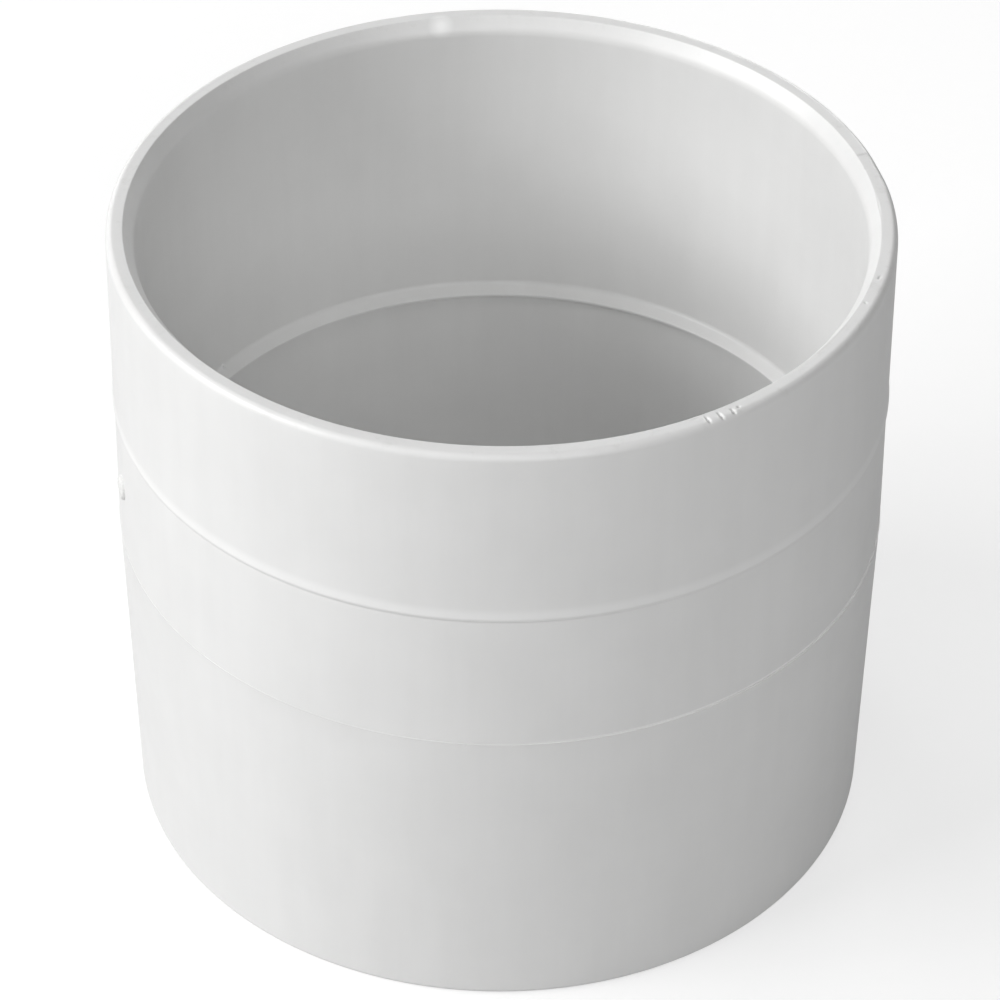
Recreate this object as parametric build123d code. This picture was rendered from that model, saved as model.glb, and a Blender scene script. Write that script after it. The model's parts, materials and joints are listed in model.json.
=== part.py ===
from build123d import *
import os

# Plain hub-by-hub coupling for 4 inch sewer-and-drain pipe, standing on one mouth.
# The real coupling is one injection moulding. It is modelled here as the named stretches
# that its own witness lines divide it into, which meet face to face and never overlap.
# Millimetres. The origin is on the axis at the lower mouth's face, and +Z is the pipe axis.

# Driving dimensions
height = 103.2
bore_radius = 53.8            # both sockets, for a pipe 107.06 mm across
mouth_outer_radius = 57.9     # at either mouth
middle_outer_radius = 58.7    # the outside wall has draft towards both mouths
middle_height = height / 2    # the mould's parting plane
upper_line_height = 74.4      # the witness line round the upper half
upper_line_step = 0.12        # the band is set back this far below the upper line
middle_line_step = 0.05       # and this far above the parting plane
rim_round = 1.1               # outer edge of each mouth
lead_in_width = 1.6           # bevel that guides a pipe in, measured across the rim
lead_in_depth = 2.1           # the same bevel, measured down the bore
stop_height = 51.3            # the middle of the pipe stop's thin inner edge
stop_inner_radius = 52.0
stop_nose_height = 0.4        # the inner edge stands upright
stop_root_height = 3.0        # where the stop leaves the bore wall
stop_nose_round = 0.15
stop_root_depth = 1.0         # the stop reaches this far into the wall around it
gate_height = 63.2            # near the middle of the band
gate_angle = 194.5            # degrees from +X, seen from above
gate_radius = 2.0
gate_stand_out = 0.6          # how far the broken gate stands out of the wall
gate_core_radius = 1.1        # the raised middle, where the runner broke away
gate_base_share = 0.85       # height of the gate's base, as a share of its whole height
gate_root_depth = 1.0         # the cylinders are drawn from this far inside the wall, then cut

stop_bottom = stop_height - stop_root_height / 2
stop_top = stop_height + stop_root_height / 2
stop_root_radius = bore_radius + stop_root_depth
land_inner_radius = bore_radius + lead_in_width
band_bottom_radius = middle_outer_radius - middle_line_step


def outer_radius(z):
    """Radius of the drafted outside wall at a height."""
    share = abs(z - middle_height) / middle_height
    return middle_outer_radius + (mouth_outer_radius - middle_outer_radius) * share


def ring(*section):
    """Solid of revolution about Z from the corners (radius, height) of its section."""
    outline = Polyline(*[(radius, 0, z) for radius, z in section], close=True)
    return revolve(make_face(outline), Axis.Z)


def circles_at(solid, z):
    """The circular edges of a ring that lie at a height."""
    circles = solid.edges().filter_by(GeomType.CIRCLE)
    return [edge for edge in circles if abs(edge.center().Z - z) < 0.01]


def round_rim(solid, z):
    """Rounds a mouth's outer edge, which is the largest circle at that height."""
    return fillet(max(circles_at(solid, z), key=lambda edge: edge.radius), rim_round)


def band_top_radius():
    return outer_radius(upper_line_height) - upper_line_step


def upper_socket():
    """The upper mouth, from its rim down to the upper witness line."""
    body = ring(
        (bore_radius, upper_line_height),
        (outer_radius(upper_line_height), upper_line_height),
        (mouth_outer_radius, height),
        (land_inner_radius, height),
        (bore_radius, height - lead_in_depth),
    )
    return round_rim(body, height)


def centre_band():
    """The slightly sunken band between the witness lines, rebated at its bottom for the stop's root."""
    return ring(
        (stop_root_radius, middle_height),
        (band_bottom_radius, middle_height),
        (band_top_radius(), upper_line_height),
        (bore_radius, upper_line_height),
        (bore_radius, stop_top),
        (stop_root_radius, stop_top),
    )


def lower_socket():
    """Everything below the parting plane, rebated at its top for the stop's root."""
    body = ring(
        (land_inner_radius, 0),
        (mouth_outer_radius, 0),
        (middle_outer_radius, middle_height),
        (stop_root_radius, middle_height),
        (stop_root_radius, stop_bottom),
        (bore_radius, stop_bottom),
        (bore_radius, lead_in_depth),
    )
    return round_rim(body, 0)


def pipe_stop():
    """The low ring inside, which both pipe ends come up against."""
    nose_bottom = stop_height - stop_nose_height / 2
    nose_top = stop_height + stop_nose_height / 2
    body = ring(
        (stop_root_radius, stop_bottom),
        (stop_root_radius, stop_top),
        (bore_radius, stop_top),
        (stop_inner_radius, nose_top),
        (stop_inner_radius, nose_bottom),
        (bore_radius, stop_bottom),
    )
    return fillet(circles_at(body, nose_bottom) + circles_at(body, nose_top), stop_nose_round)


def gate_vestige():
    """The low stub left where the moulding was broken off its runner, on the outside of the band."""
    wall_radius = outer_radius(gate_height)
    root = wall_radius - gate_root_depth
    base_tip = wall_radius + gate_stand_out * gate_base_share
    core_tip = wall_radius + gate_stand_out
    outward = Plane(origin=(0, 0, gate_height), z_dir=(1, 0, 0))
    base = outward * extrude(Pos(0, 0, root) * Circle(gate_radius), base_tip - root)
    core = outward * extrude(Pos(0, 0, root) * Circle(gate_core_radius), core_tip - root)
    stub = Rot(0, 0, gate_angle) * (base + core)
    inside_of_wall = ring(
        (0, middle_height),
        (band_bottom_radius, middle_height),
        (band_top_radius(), upper_line_height),
        (0, upper_line_height),
    )
    return stub - inside_of_wall


NODES = {
    "upper_socket": upper_socket,
    "centre_band": centre_band,
    "lower_socket": lower_socket,
    "pipe_stop": pipe_stop,
    "gate_vestige": gate_vestige,
}

os.makedirs("parts", exist_ok=True)
for name, make in NODES.items():
    export_step(make(), f"parts/{name}.step")
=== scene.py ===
"""Looks for the plain white drain-pipe coupling: its moulding in named stretches, its studio and its camera.

Everything is in metres, in the frame of the CAD model: +Z is the pipe axis, and the lower mouth
stands on z = 0. Angles are in degrees from +X, counted anticlockwise seen from above.
The camera looks along +Y.
"""

import json
import math

import bpy
from mathutils import Matrix, Vector, noise


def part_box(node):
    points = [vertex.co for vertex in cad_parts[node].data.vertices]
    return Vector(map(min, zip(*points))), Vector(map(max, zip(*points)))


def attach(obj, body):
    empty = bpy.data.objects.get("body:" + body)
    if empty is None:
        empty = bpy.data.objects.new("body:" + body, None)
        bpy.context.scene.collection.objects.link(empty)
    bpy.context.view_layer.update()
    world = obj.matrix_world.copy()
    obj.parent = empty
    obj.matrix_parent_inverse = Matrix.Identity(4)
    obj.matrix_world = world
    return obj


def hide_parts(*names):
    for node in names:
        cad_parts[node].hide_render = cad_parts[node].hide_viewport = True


MM = 0.001

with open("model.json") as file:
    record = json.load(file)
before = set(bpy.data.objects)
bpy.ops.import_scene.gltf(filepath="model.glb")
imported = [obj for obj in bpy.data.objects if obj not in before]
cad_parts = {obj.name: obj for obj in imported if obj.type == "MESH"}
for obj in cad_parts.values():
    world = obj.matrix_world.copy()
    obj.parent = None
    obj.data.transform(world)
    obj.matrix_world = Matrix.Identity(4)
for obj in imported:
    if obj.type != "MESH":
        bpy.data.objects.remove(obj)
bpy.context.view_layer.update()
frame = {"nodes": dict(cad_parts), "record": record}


# ---------------------------------------------------------------- sizes, read from the frame


def cad_radii(node, z):
    """(smallest, largest) radius of a CAD node's points at a height."""
    points = [v.co for v in frame["nodes"][node].data.vertices if abs(v.co.z - z) < 0.002 * MM]
    radii = [math.hypot(p.x, p.y) for p in points]
    return min(radii), max(radii)


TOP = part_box("upper_socket")[1].z
UPPER_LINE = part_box("upper_socket")[0].z
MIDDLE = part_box("centre_band")[0].z
STOP_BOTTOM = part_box("pipe_stop")[0].z
STOP_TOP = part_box("pipe_stop")[1].z
BORE = frame["record"]["mounts"][0]["dims"]["r_mm"] * MM
LAND_INNER = cad_radii("upper_socket", TOP)[0]
MIDDLE_OUTER = cad_radii("lower_socket", MIDDLE)[1]
UPPER_LINE_OUTER = cad_radii("upper_socket", UPPER_LINE)[1]
BAND_TOP_OUTER = cad_radii("centre_band", UPPER_LINE)[1]
BAND_BOTTOM_OUTER = cad_radii("centre_band", MIDDLE)[1]
STOP_ROOT = cad_radii("pipe_stop", STOP_TOP)[1]
STOP_INNER = 52.0 * MM
STOP_NOSE = 0.4 * MM         # height of the stop's upright inner edge
STOP_NOSE_ROUND = 0.15 * MM
STOP_MIDDLE = (STOP_BOTTOM + STOP_TOP) / 2
RIM_ROUND = 1.1 * MM
LEAD_IN_DEPTH = 2.1 * MM
LAND = TOP - 0.1 * MM        # the upper rim's land lies this low, which leaves room for raised marks
MOUTH_OUTER = MIDDLE_OUTER + (UPPER_LINE_OUTER - MIDDLE_OUTER) * (TOP - MIDDLE) / (UPPER_LINE - MIDDLE)


def outer_radius(z):
    """Radius of the drafted outside wall at a height."""
    share = abs(z - MIDDLE) / MIDDLE
    return MIDDLE_OUTER + (MOUTH_OUTER - MIDDLE_OUTER) * share


# ---------------------------------------------------------------- outlines and turned meshes

TURN_STEP = 0.5              # degrees between the sections of a turned mesh
FINE_TURN_STEP = 0.1         # and near a dent
FINE_SPAN = 1.5              # degrees on either side of a dent that are fine
DENT_SPAN = 12               # degrees on either side of a dent that it can move
DENT_REACH = 4               # half widths beyond which a dent is not worked out
DENT_FADE = 12               # squared distance, in half widths, at which a dent is taken as gone
SHARP_ANGLE = 50             # edges sharper than this stay sharp, in degrees


def line(start, end, step):
    """Points from start up to but not at end, about one step apart, as (radius, height)."""
    count = max(1, round(math.dist(start, end) / step))
    return [
        (start[0] + (end[0] - start[0]) * i / count, start[1] + (end[1] - start[1]) * i / count)
        for i in range(count)
    ]


def rounded(outline, rounds, count):
    """A closed outline with some corners rounded in count steps: rounds has the radius by corner."""
    result = []
    for i, corner in enumerate(outline):
        radius = rounds.get(i)
        if not radius:
            result.append(corner)
            continue
        here = Vector(corner)
        back = (Vector(outline[i - 1]) - here).normalized()
        on = (Vector(outline[(i + 1) % len(outline)]) - here).normalized()
        half = back.angle(on) / 2
        reach = radius / math.tan(half)
        centre = here + (back + on).normalized() * radius / math.sin(half)
        first = here + back * reach - centre
        sweep = first.angle_signed(here + on * reach - centre)
        for k in range(count + 1):
            turned = first.copy()
            turned.rotate(Matrix.Rotation(-sweep * k / count, 2))
            result.append(tuple(centre + turned))
    return result


def dense(outline, step):
    """A closed outline with its long runs divided."""
    points = []
    for i, start in enumerate(outline):
        points += line(start, outline[(i + 1) % len(outline)], step(start))
    return points


def turn_angles(dents):
    """Angles round one turn, in degrees: coarse steps, with fine ones beside the dents."""
    spans = [(d.angle - FINE_SPAN, d.angle + FINE_SPAN) for d in dents]
    angles = []
    angle = 0.0
    while angle < 360 - 1e-6:
        angles.append(angle)
        inside = any(low <= angle < high for low, high in spans)
        angle = round(angle + (FINE_TURN_STEP if inside else TURN_STEP), 3)
    return angles


def degrees_apart(first, second):
    """The turn from the second angle to the first, from -180 to 180."""
    return (first - second + 180) % 360 - 180


class Dent:
    """A small mark pressed into or standing out of the surface, at a point of the object."""

    def __init__(self, angle, radius, z, across, along, depth, slant=0.0):
        """across is the half width round the axis, along the half length in the section plane."""
        self.angle, self.radius, self.z = angle, radius, z
        self.across, self.along, self.depth, self.slant = across, along, depth, slant

    def push(self, angle, radius, z):
        """How far this dent moves a surface point inwards."""
        around = math.radians(degrees_apart(angle, self.angle)) * self.radius
        if abs(around) > DENT_REACH * (self.across + self.along * abs(self.slant)):
            return 0.0
        lengthwise = math.dist((radius, z), (self.radius, self.z))
        side = (radius - self.radius) - (z - self.z)
        skewed = around - self.slant * math.copysign(lengthwise, side)
        away = (skewed / self.across) ** 2 + (lengthwise / self.along) ** 2
        return self.depth * math.exp(-away) if away < DENT_FADE else 0.0


def turned(name, outline, dents=()):
    """A closed mesh of revolution from a closed outline listed anticlockwise in (radius, height)."""
    angles = turn_angles(dents)
    count = len(outline)
    normals = []
    for i in range(count):
        ahead = Vector(outline[(i + 1) % count]) - Vector(outline[i - 1])
        normals.append(Vector((ahead.y, -ahead.x)).normalized())
    vertices = []
    for angle in angles:
        near = [d for d in dents if abs(degrees_apart(angle, d.angle)) < DENT_SPAN]
        turn = math.radians(angle)
        for (radius, z), normal in zip(outline, normals):
            push = sum(d.push(angle, radius, z) for d in near)
            r = radius - normal.x * push
            vertices.append((r * math.cos(turn), r * math.sin(turn), z - normal.y * push))
    faces = []
    for i in range(len(angles)):
        here, there = i * count, (i + 1) % len(angles) * count
        for k in range(count):
            nxt = (k + 1) % count
            faces.append((here + k, there + k, there + nxt, here + nxt))
    return mesh_object(name, vertices, faces)


def mesh_object(name, vertices, faces, sharp=SHARP_ANGLE):
    mesh = bpy.data.meshes.new(name)
    mesh.from_pydata(vertices, [], faces)
    mesh.validate()
    mesh.shade_smooth()
    mesh.set_sharp_from_angle(angle=math.radians(sharp))
    piece = bpy.data.objects.new(name, mesh)
    bpy.context.scene.collection.objects.link(piece)
    return piece


# ---------------------------------------------------------------- the moulding's stretches

# The wall beside the upper witness line: (height above the line, how far out of the plain wall), in mm.
LINE_ABOVE = [
    (0.0, 0.05), (0.25, 0.13), (0.4, 0.155), (0.7, 0.12),
    (1.0, 0.08), (1.5, 0.035), (2.0, 0.01), (2.6, 0.0),
]
LINE_BELOW = [(-1.4, -0.12), (-0.65, -0.12), (-0.35, -0.17), (-0.15, -0.08)]
FLASH = 0.05 * MM            # flash at the parting plane, worn down over FLASH_HEIGHT
FLASH_HEIGHT = 0.5 * MM
MISMATCH = 0.13 * MM         # the mould halves meet this far out of true, most on MISMATCH_SIDE
MISMATCH_HEIGHT = 4 * MM     # and the band's foot is set in over this height
MISMATCH_SIDE = 340
EDGE_ROUND = 0.25 * MM       # inner edge of the rim's flat land
MOUTH_ROUND = 2.4 * MM       # where the lead-in bevel meets the bore
COVE_ABOVE = 1.1 * MM        # the stop's faces run into the bore wall through coves
COVE_BELOW = 0.6 * MM
SOCKET_ROUND_STEPS = 8
STOP_ROUND_STEPS = 7
STOP_EMBEDDED = 0.3 * MM     # how far the stop's ring reaches into the wall behind it
STOP_SUNK = 0.01 * MM        # its coves end this far inside the wall
OUTER_WALL = 1 * MM          # points this close to the outside belong to the outer wall
WALL_STEP = 2.5 * MM         # mesh steps along the outlines
BAND_STEP = 0.45 * MM
STOP_STEP = BAND_STEP / 2
RIM_STEP = 0.12 * MM


def rim_step(point):
    """Mesh step for a socket's outline: fine round the rim, coarse along the walls."""
    depth = min(point[1], TOP - point[1])
    return RIM_STEP if depth < LEAD_IN_DEPTH else WALL_STEP


def beside_line(shape):
    """Outline points on the outer wall beside the upper witness line."""
    return [
        (outer_radius(UPPER_LINE + up * MM) + out * MM, UPPER_LINE + up * MM)
        for up, out in shape
    ]


def set_foot_in(band):
    """Sets the band's foot in, which leaves a small ledge, where the mould halves meet out of true."""
    for vertex in band.data.vertices:
        radius = math.hypot(vertex.co.x, vertex.co.y)
        facing = math.cos(math.atan2(vertex.co.y, vertex.co.x) - math.radians(MISMATCH_SIDE))
        nearness = 1 - (vertex.co.z - MIDDLE) / MISMATCH_HEIGHT
        if radius > BAND_BOTTOM_OUTER - OUTER_WALL and facing > 0 and nearness > 0:
            share = 1 - MISMATCH * facing * nearness / radius
            vertex.co.x *= share
            vertex.co.y *= share


def upper_socket(dents):
    outline = [(BORE, UPPER_LINE), *beside_line(LINE_ABOVE)]
    first_rim = len(outline)
    outline += [(MOUTH_OUTER, LAND), (LAND_INNER, LAND), (BORE, LAND - LEAD_IN_DEPTH)]
    rounds = {first_rim: RIM_ROUND, first_rim + 1: EDGE_ROUND, first_rim + 2: MOUTH_ROUND}
    outline = rounded(outline, rounds, SOCKET_ROUND_STEPS)
    return turned("upper_socket_moulding", dense(outline, rim_step), dents)


def centre_band():
    outline = [
        (STOP_ROOT, MIDDLE),
        (BAND_BOTTOM_OUTER, MIDDLE),
        *beside_line(LINE_BELOW),
        beside_line(LINE_ABOVE)[0],
        (BORE, UPPER_LINE),
        (BORE, STOP_TOP),
        (STOP_ROOT, STOP_TOP),
    ]
    band = turned("centre_band_moulding", dense(outline, lambda point: BAND_STEP))
    set_foot_in(band)
    return band


def lower_socket(dents):
    outline = [
        (LAND_INNER, 0),
        (MOUTH_OUTER, 0),
        (outer_radius(LEAD_IN_DEPTH), LEAD_IN_DEPTH),
        (outer_radius(MIDDLE - FLASH_HEIGHT) - FLASH, MIDDLE - FLASH_HEIGHT),
        (MIDDLE_OUTER, MIDDLE),
        (STOP_ROOT, MIDDLE),
        (STOP_ROOT, STOP_BOTTOM),
        (BORE, STOP_BOTTOM),
        (BORE, LEAD_IN_DEPTH),
    ]
    outline = rounded(outline, {0: EDGE_ROUND, 1: RIM_ROUND, 8: MOUTH_ROUND}, SOCKET_ROUND_STEPS)

    def step(point):
        """Fine along the flash too."""
        return RIM_STEP if abs(point[1] - MIDDLE + FLASH_HEIGHT) < RIM_STEP else rim_step(point)

    return turned("lower_socket_moulding", dense(outline, step), dents)


def pipe_stop(dents):
    wall = BORE + STOP_SUNK
    outline = [
        (BORE + STOP_EMBEDDED, STOP_BOTTOM - COVE_BELOW),
        (BORE + STOP_EMBEDDED, STOP_TOP + COVE_ABOVE),
        (wall, STOP_TOP + COVE_ABOVE),
        (wall, STOP_TOP),
        (STOP_INNER, STOP_MIDDLE + STOP_NOSE / 2),
        (STOP_INNER, STOP_MIDDLE - STOP_NOSE / 2),
        (wall, STOP_BOTTOM),
        (wall, STOP_BOTTOM - COVE_BELOW),
    ]
    rounds = {3: COVE_ABOVE, 4: STOP_NOSE_ROUND, 5: STOP_NOSE_ROUND, 6: COVE_BELOW}
    outline = rounded(outline, rounds, STOP_ROUND_STEPS)
    return turned("pipe_stop_moulding", dense(outline, lambda point: STOP_STEP), dents)


GATE_RINGS, GATE_SPOKES = 18, 64
GATE_ROOT = 0.3 * MM         # the stub's mesh starts this far inside the wall
GATE_WOBBLE = 0.06           # how far its outline is out of round, as a share of its radius
GATE_BASE_SHARE = 0.85       # heights of its pad and of the broken middle above it, as shares of the whole
GATE_CORE_SHARE = 0.15
GATE_TORN_SHARE = 0.2        # roughness of the broken surface, likewise
GATE_FLAT_SHARE = 0.7        # the pad is flat out to this share of its radius
GATE_CORE_RADIUS = 0.5       # and the broken middle reaches to this one
GATE_CORE_EDGE = 30          # steepness of the broken middle's edge
GATE_TEAR_SCALE = 2600       # tears per metre
GATE_SHARP_ANGLE = 60


def gate_vestige(angle, height, radius, stand_out):
    """The torn stub of the gate: a low round pad that follows the wall, with a broken middle."""
    rings, spokes = GATE_RINGS, GATE_SPOKES
    vertices = []
    for i in range(1, rings + 1):
        share = i / rings
        for k in range(spokes):
            around = 2 * math.pi * k / spokes
            wobble = 1 + GATE_WOBBLE * noise.noise(Vector((math.cos(around), math.sin(around), 3)))
            u = share * radius * wobble * math.cos(around)
            v = share * radius * wobble * math.sin(around)
            slope = max(0.0, (share - GATE_FLAT_SHARE) / (1 - GATE_FLAT_SHARE))
            pad = GATE_BASE_SHARE * (1 - slope ** 2)
            core = GATE_CORE_SHARE / (1 + math.exp((share - GATE_CORE_RADIUS) * GATE_CORE_EDGE))
            tear = noise.fractal(Vector((u, v, 0)) * GATE_TEAR_SCALE, 1.0, 2.0, 4)
            torn = GATE_TORN_SHARE * tear * (1.1 - share)
            out = stand_out * min(1.0, pad + core + torn) if i < rings else -GATE_ROOT
            vertices.append(wall_point(angle, height, u, v, out))
    front = len(vertices)
    vertices.append(wall_point(angle, height, 0, 0, stand_out * 0.9))
    back = len(vertices)
    vertices.append(wall_point(angle, height, 0, 0, -GATE_ROOT))
    faces = []
    for k in range(spokes):
        nxt = (k + 1) % spokes
        faces.append((front, k, nxt))
        outer = (rings - 1) * spokes
        faces.append((outer + k, back, outer + nxt))
        for i in range(rings - 1):
            a, b = i * spokes, (i + 1) * spokes
            faces.append((a + k, b + k, b + nxt, a + nxt))
    return mesh_object("gate_vestige_stub", vertices, faces, GATE_SHARP_ANGLE)


def wall_point(angle, height, u, v, out):
    """A point u round the wall and v up it from a place on the band's outside, standing out by out."""
    z = height + v
    share = (z - MIDDLE) / (UPPER_LINE - MIDDLE)
    radius = BAND_BOTTOM_OUTER + (BAND_TOP_OUTER - BAND_BOTTOM_OUTER) * share
    turn = math.radians(angle) + u / radius
    return ((radius + out) * math.cos(turn), (radius + out) * math.sin(turn), z)


# ---------------------------------------------------------------- procedural materials


class Shader:
    """A material with a Principled surface, and short calls for the nodes that feed it."""

    def __init__(self, name):
        self.material = bpy.data.materials.new(name)
        self.material.use_nodes = True
        self.tree = self.material.node_tree
        self.surface = self.tree.nodes["Principled BSDF"]
        self.place = self.tree.nodes.new("ShaderNodeTexCoord").outputs["Object"]

    def node(self, kind, **settings):
        made = self.tree.nodes.new("ShaderNode" + kind)
        for key, value in settings.items():
            setattr(made, key, value)
        return made

    def link(self, source, target):
        self.tree.links.new(source, target)

    def stretched(self, scale):
        """Object coordinates with each axis scaled, so that a texture can be drawn out."""
        mapping = self.node("Mapping")
        mapping.inputs["Scale"].default_value = scale
        self.link(self.place, mapping.inputs["Vector"])
        return mapping.outputs["Vector"]

    def grain(self, scale, detail=3.0, roughness=0.5, vector=None):
        texture = self.node("TexNoise")
        texture.inputs["Scale"].default_value = scale
        texture.inputs["Detail"].default_value = detail
        texture.inputs["Roughness"].default_value = roughness
        self.link(vector or self.place, texture.inputs["Vector"])
        return texture.outputs["Fac"]

    def span(self, value, low, high, to_low, to_high):
        """The value's stretch from low to high, mapped to another stretch and clamped."""
        ranged = self.node("MapRange")
        for key, number in zip(("From Min", "From Max", "To Min", "To Max"), (low, high, to_low, to_high)):
            ranged.inputs[key].default_value = number
        self.link(value, ranged.inputs["Value"])
        return ranged.outputs["Result"]

    def math(self, operation, first, second):
        sum_node = self.node("Math", operation=operation)
        for socket, value in zip(sum_node.inputs, (first, second)):
            if isinstance(value, (int, float)):
                socket.default_value = value
            else:
                self.link(value, socket)
        return sum_node.outputs["Value"]

    def vector(self, operation, first, second=None):
        """A vector sum, whose answer is a vector for MULTIPLY and a number for the others."""
        made = self.node("VectorMath", operation=operation)
        self.link(first, made.inputs[0])
        if second:
            made.inputs[1].default_value = second
        return made.outputs["Vector" if operation == "MULTIPLY" else "Value"]

    def near(self, value, middle, inner, outer):
        """1 within inner of a middle value, falling to 0 at outer."""
        away = self.math("ABSOLUTE", self.math("SUBTRACT", value, middle), 0)
        return self.span(away, inner, outer, 1, 0)

    def mix(self, factor, first, second):
        mixed = self.node("Mix", data_type="RGBA")
        self.link(factor, mixed.inputs["Factor"])
        for key, colour in (("A", first), ("B", second)):
            socket = next(s for s in mixed.inputs if s.name == key and s.type == "RGBA")
            if isinstance(colour, tuple):
                socket.default_value = (*colour, 1)
            else:
                self.link(colour, socket)
        return next(s for s in mixed.outputs if s.type == "RGBA")

    def bump(self, height, distance, strength=1.0, under=None):
        bumped = self.node("Bump")
        bumped.inputs["Distance"].default_value = distance
        bumped.inputs["Strength"].default_value = strength
        self.link(height, bumped.inputs["Height"])
        if under:
            self.link(under, bumped.inputs["Normal"])
        return bumped.outputs["Normal"]


PVC_IOR = 1.53
PVC_LIGHT = (0.765, 0.765, 0.76)
PVC_SHADE = (0.735, 0.735, 0.73)
PVC_SCUFF = (0.69, 0.69, 0.68)
PVC_PAINTED_HIGHLIGHT = (0.93, 0.93, 0.925)   # painted highlight on the raised lines and on a spot of the upper bevel
SCUFF_START = 1.6 * MM       # the mouths are scuffed from this far down
SCUFF_FULL = 0.2 * MM        # and fully from this far down
RIDGE_ABOVE = 0.9 * MM       # the painted highlight along the ridge is centred this far above the upper witness line
RIDGE_CORE = 0.3 * MM        # it is painted at full strength over this half height
RIDGE_EDGE = 1.3 * MM        # and fades out at this one
# strength of the painted highlight on the ridge
RIDGE_HIGHLIGHT = 0.25
LEDGE_ABOVE = 0.14 * MM      # likewise for the painted highlight on the ledge at the parting plane
LEDGE_CORE = 0.12 * MM
LEDGE_EDGE = 0.3 * MM
# strength of the painted highlight on the ledge
LEDGE_HIGHLIGHT = 0.85
BEVEL_HIGHLIGHT = (-9.8 * MM, 53.7 * MM, TOP - 1.1 * MM)   # painted highlight on a spot of the upper bevel
BEVEL_HIGHLIGHT_CORE = 0.4 * MM
BEVEL_HIGHLIGHT_EDGE = 2.2 * MM


def scuffs(s, height):
    """Patches of wear on the two mouths."""
    from_middle = s.math("ABSOLUTE", s.math("SUBTRACT", height, MIDDLE), 0)
    rim = s.span(from_middle, MIDDLE - SCUFF_START, MIDDLE - SCUFF_FULL, 0, 1)
    return s.math("MULTIPLY", rim, s.span(s.grain(420, 5, 0.7), 0.56, 0.7, 0, 0.75))


def painted_line_highlights(s, height):
    """Painted highlight on the raised lines round the outside: on the ridge all round, and on the ledge on
    the mismatched side.
    """
    radius = s.vector("LENGTH", s.vector("MULTIPLY", s.place, (1, 1, 0)))
    outside = s.span(radius, BORE + 2 * MM, BORE + 3 * MM, 0, 1)
    side = math.radians(MISMATCH_SIDE)
    facing = s.vector("DOT_PRODUCT", s.place, (math.cos(side), math.sin(side), 0))
    facing = s.span(facing, 0.3 * MIDDLE_OUTER, 0.9 * MIDDLE_OUTER, 0, LEDGE_HIGHLIGHT)
    ridge = s.near(height, UPPER_LINE + RIDGE_ABOVE, RIDGE_CORE, RIDGE_EDGE)
    ledge = s.near(height, MIDDLE + LEDGE_ABOVE, LEDGE_CORE, LEDGE_EDGE)
    pale = s.math("MAXIMUM", s.math("MULTIPLY", ridge, RIDGE_HIGHLIGHT), s.math("MULTIPLY", ledge, facing))
    return s.math("MULTIPLY", pale, outside)


def white_pvc():
    """Satin moulded PVC: faint cloudiness, tool marks, fine grain, scuffed rims, and painted highlights on
    the raised lines and on a spot of the upper bevel.
    """
    s = Shader("white_pvc")
    cloud = s.grain(70, 4, 0.55)
    streak = s.grain(1, 4, 0.6, s.stretched((260, 260, 24)))
    tone = s.math("ADD", s.math("MULTIPLY", cloud, 0.6), s.math("MULTIPLY", streak, 0.4))
    colour = s.mix(s.span(tone, 0.35, 0.65, 0, 1), PVC_SHADE, PVC_LIGHT)

    split = s.node("SeparateXYZ")
    s.link(s.place, split.inputs["Vector"])
    scuffed = scuffs(s, split.outputs["Z"])
    colour = s.mix(scuffed, colour, PVC_SCUFF)
    # painted highlight: a spot of the upper bevel is made paler
    bevel_highlight = s.span(s.vector("DISTANCE", s.place, BEVEL_HIGHLIGHT), BEVEL_HIGHLIGHT_CORE, BEVEL_HIGHLIGHT_EDGE, 1, 0)
    # painted highlights: the raised lines and the spot on the upper bevel are mixed towards a paler colour
    colour = s.mix(s.math("MAXIMUM", painted_line_highlights(s, split.outputs["Z"]), bevel_highlight), colour, PVC_PAINTED_HIGHLIGHT)
    s.link(colour, s.surface.inputs["Base Color"])

    gloss = s.span(s.grain(160, 5, 0.6), 0.3, 0.7, 0.36, 0.46)
    gloss = s.math("ADD", gloss, s.math("MULTIPLY", scuffed, 0.25))
    s.link(gloss, s.surface.inputs["Roughness"])

    tooling = s.grain(1, 2, 0.5, s.stretched((18, 18, 5200)))
    fine = s.grain(2600, 3, 0.6)
    waves = s.grain(55, 2, 0.4)
    normal = s.bump(waves, 0.00008)
    normal = s.bump(tooling, 0.0000035, under=normal)
    normal = s.bump(fine, 0.000006, under=normal)
    normal = s.bump(scuffed, 0.00004, 0.6, under=normal)
    s.link(normal, s.surface.inputs["Normal"])
    s.surface.inputs["IOR"].default_value = PVC_IOR
    return s.material


TORN_DARK = (0.62, 0.62, 0.61)
TORN_PALE = (0.82, 0.82, 0.81)


def broken_pvc():
    """The torn gate: whiter where it was stretched, dull and granular."""
    s = Shader("broken_pvc")
    torn = s.grain(2200, 6, 0.7)
    colour = s.mix(s.span(torn, 0.3, 0.7, 0, 1), TORN_DARK, TORN_PALE)
    s.link(colour, s.surface.inputs["Base Color"])
    s.link(s.span(torn, 0.3, 0.7, 0.6, 0.85), s.surface.inputs["Roughness"])
    s.link(s.bump(torn, 0.00012), s.surface.inputs["Normal"])
    s.surface.inputs["IOR"].default_value = PVC_IOR
    return s.material


PAPER_DARK = (0.44, 0.44, 0.44)
PAPER_PALE = (0.47, 0.47, 0.47)
FLOOR_GLOW = 0.18            # what the floor gives the coupling
FLOOR_GLOW_SEEN = 0.58       # what it gives the camera


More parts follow.
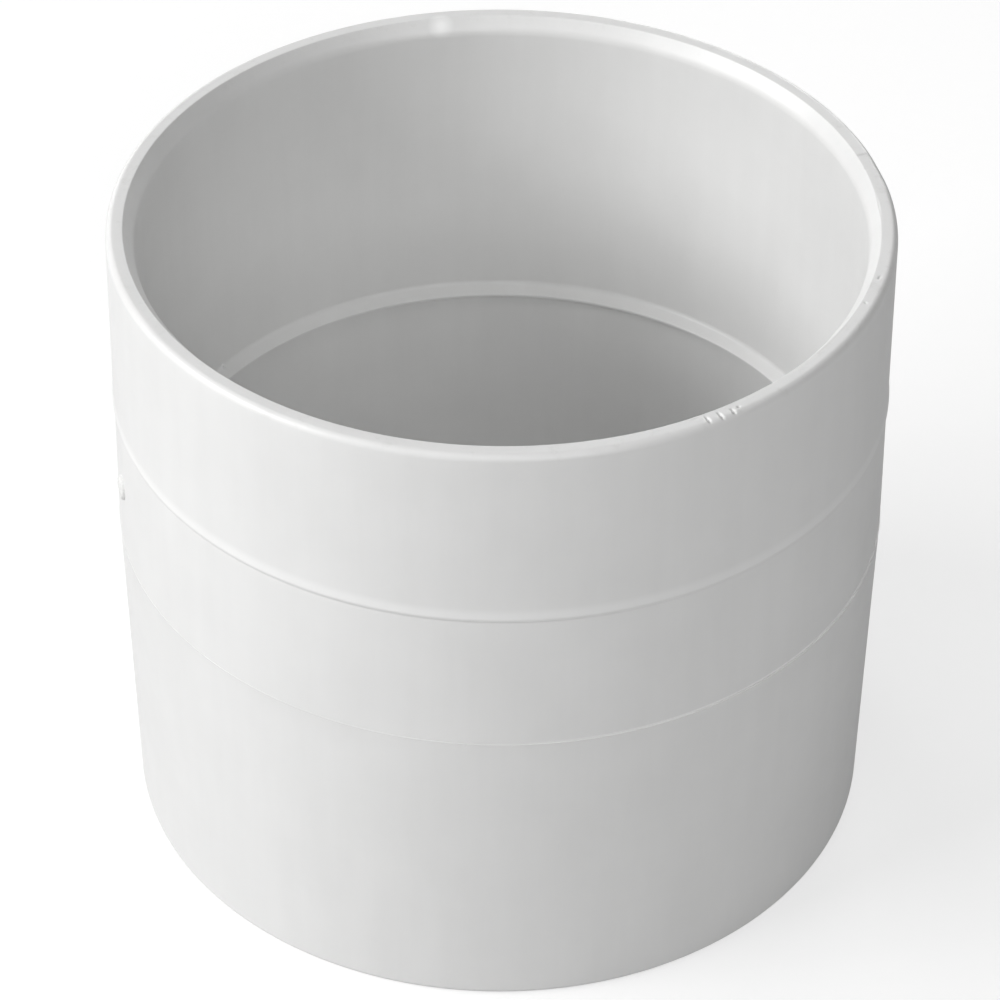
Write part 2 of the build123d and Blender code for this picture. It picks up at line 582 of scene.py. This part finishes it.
def floor_paper():
    """Plain pale studio paper, which the camera sees lighter than it lights the coupling."""
    s = Shader("floor_paper")
    fibre = s.grain(300, 4, 0.6)
    s.link(s.mix(fibre, PAPER_DARK, PAPER_PALE), s.surface.inputs["Base Color"])
    s.link(s.span(fibre, 0.3, 0.7, 0.85, 0.95), s.surface.inputs["Roughness"])
    s.link(s.bump(fibre, 0.00002), s.surface.inputs["Normal"])
    s.surface.inputs["Specular IOR Level"].default_value = 0.2
    s.surface.inputs["Emission Color"].default_value = (1, 1, 1, 1)
    seen = s.node("LightPath").outputs["Is Camera Ray"]
    s.link(s.span(seen, 0, 1, FLOOR_GLOW, FLOOR_GLOW_SEEN), s.surface.inputs["Emission Strength"])
    return s.material


# ---------------------------------------------------------------- the object


def place(piece, node, material):
    """Puts a finished piece in the place of its CAD node."""
    piece.data.materials.append(material)
    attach(piece, "root")
    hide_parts(node)


# Handling marks on the upper rim: nicks from a tool's teeth and the lips they raised, a scratch, a crease,
# a scraped stretch of the outer edge, and wear along the land's inner edge.
TEETH = [(299.94, 56.7, 0.5), (301.95, 56.8, 0.55), (304.0, 56.9, 0.4), (305.15, 56.6, 0.15)]
rim_dents = [Dent(a, r * MM, LAND, 0.22 * MM, half * MM, 0.5 * MM) for a, r, half in TEETH]
rim_dents += [Dent(a - 0.45, r * MM, LAND, 0.17 * MM, half * MM, -0.05 * MM) for a, r, half in TEETH]
rim_dents += [
    Dent(298.2, 55.9 * MM, LAND, 0.5 * MM, 0.12 * MM, 0.1 * MM, 0.5),
    Dent(337.3, 56.05 * MM, LAND, 0.2 * MM, 0.2 * MM, 0.16 * MM),
    Dent(344.0, 56.3 * MM, LAND, 0.4 * MM, 0.2 * MM, 0.2 * MM, 0.8),
    Dent(16.8, 56.4 * MM, LAND, 0.16 * MM, 0.8 * MM, 0.16 * MM),
    Dent(13.2, 57.5 * MM, LAND - 0.4 * MM, 3.4 * MM, 0.8 * MM, 0.12 * MM),
    Dent(13.1, 55.5 * MM, LAND, 0.2 * MM, 0.15 * MM, 0.1 * MM),
    Dent(2.9, 55.45 * MM, LAND, 2.6 * MM, 0.14 * MM, 0.1 * MM),
]
stop_flake = [Dent(146.25, BORE - 0.2 * MM, STOP_TOP, 0.25 * MM, 0.4 * MM, -0.4 * MM)]
line_pit = [Dent(265.5, MIDDLE_OUTER, MIDDLE - 0.17 * MM, 0.3 * MM, 0.2 * MM, 0.16 * MM)]

gate_middle = (Vector(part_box("gate_vestige")[0]) + Vector(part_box("gate_vestige")[1])) / 2
gate_angle = math.degrees(math.atan2(gate_middle.y, gate_middle.x))
gate_radius = (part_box("gate_vestige")[1].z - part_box("gate_vestige")[0].z) / 2
GATE_STAND_OUT = 0.6 * MM

pvc = white_pvc()
place(upper_socket(rim_dents), "upper_socket", pvc)
place(centre_band(), "centre_band", pvc)
place(lower_socket(line_pit), "lower_socket", pvc)
place(pipe_stop(stop_flake), "pipe_stop", pvc)
stub = gate_vestige(gate_angle, gate_middle.z, gate_radius, GATE_STAND_OUT)
place(stub, "gate_vestige", broken_pvc())


# ---------------------------------------------------------------- studio

FLOOR_RADIUS = 6.0
LAMP_DISTANCE = 1.5
LAMP_SIZE = 0.6


def floor():
    vertices = [
        (FLOOR_RADIUS * math.cos(math.radians(a)), FLOOR_RADIUS * math.sin(math.radians(a)), 0)
        for a in range(0, 360, 5)
    ]
    piece = mesh_object("studio_floor", vertices, [tuple(range(len(vertices)))])
    piece.data.materials.append(floor_paper())


def softbox(name, azimuth, elevation, watts):
    """A square softbox in a direction (degrees) from the middle of the coupling, aimed at it."""
    lamp = bpy.data.lights.new(name, "AREA")
    lamp.energy = watts
    lamp.shape = "SQUARE"
    lamp.size = LAMP_SIZE
    around, up = math.radians(azimuth), math.radians(elevation)
    away = Vector((math.cos(around) * math.cos(up), math.sin(around) * math.cos(up), math.sin(up)))
    holder = bpy.data.objects.new(name, lamp)
    holder.location = away * LAMP_DISTANCE
    aim = Vector((0, 0, MIDDLE)) - holder.location
    holder.rotation_euler = aim.to_track_quat("-Z", "Y").to_euler()
    bpy.context.scene.collection.objects.link(holder)


def surroundings(strength):
    """A dim, plain studio beyond the floor."""
    world = bpy.data.worlds.new("studio")
    world.use_nodes = True
    world.node_tree.nodes["Background"].inputs["Color"].default_value = (1, 1, 1, 1)
    world.node_tree.nodes["Background"].inputs["Strength"].default_value = strength
    bpy.context.scene.world = world


floor()
softbox("key_front_left", 205, 32, 9.8)
softbox("left", 180, 32, 9.8)
softbox("front", 285, 32, 5.4)
softbox("front_right", 320, 32, 0.7)
softbox("front_high", 260, 62, 2.2)
softbox("right_high", 0, 70, 0.7)
softbox("rear_left", 130, 60, 2.0)
softbox("rear", 75, 15, 6.0)
softbox("rear_low_left", 120, 15, 3.0)
surroundings(0.08)


# ---------------------------------------------------------------- camera

CAMERA_BACK = 0.46411        # horizontal distance from the coupling's axis
CAMERA_HEIGHT = 0.42024
CAMERA_DIP = 38.617          # degrees below the horizon
CAMERA_ROLL = 0.366          # degrees
CAMERA_LENS = 137.88         # for a 36 mm sensor

camera = bpy.data.objects.new("camera", bpy.data.cameras.new("camera"))
camera.data.lens = CAMERA_LENS
camera.data.sensor_width = 36
dip = Matrix.Rotation(math.radians(90 - CAMERA_DIP), 4, "X")
roll = Matrix.Rotation(math.radians(CAMERA_ROLL), 4, "Z")
camera.matrix_world = Matrix.Translation((0, -CAMERA_BACK, CAMERA_HEIGHT)) @ dip @ roll
bpy.context.scene.collection.objects.link(camera)
bpy.context.scene.camera = camera
bpy.context.scene.view_settings.view_transform = "Standard"
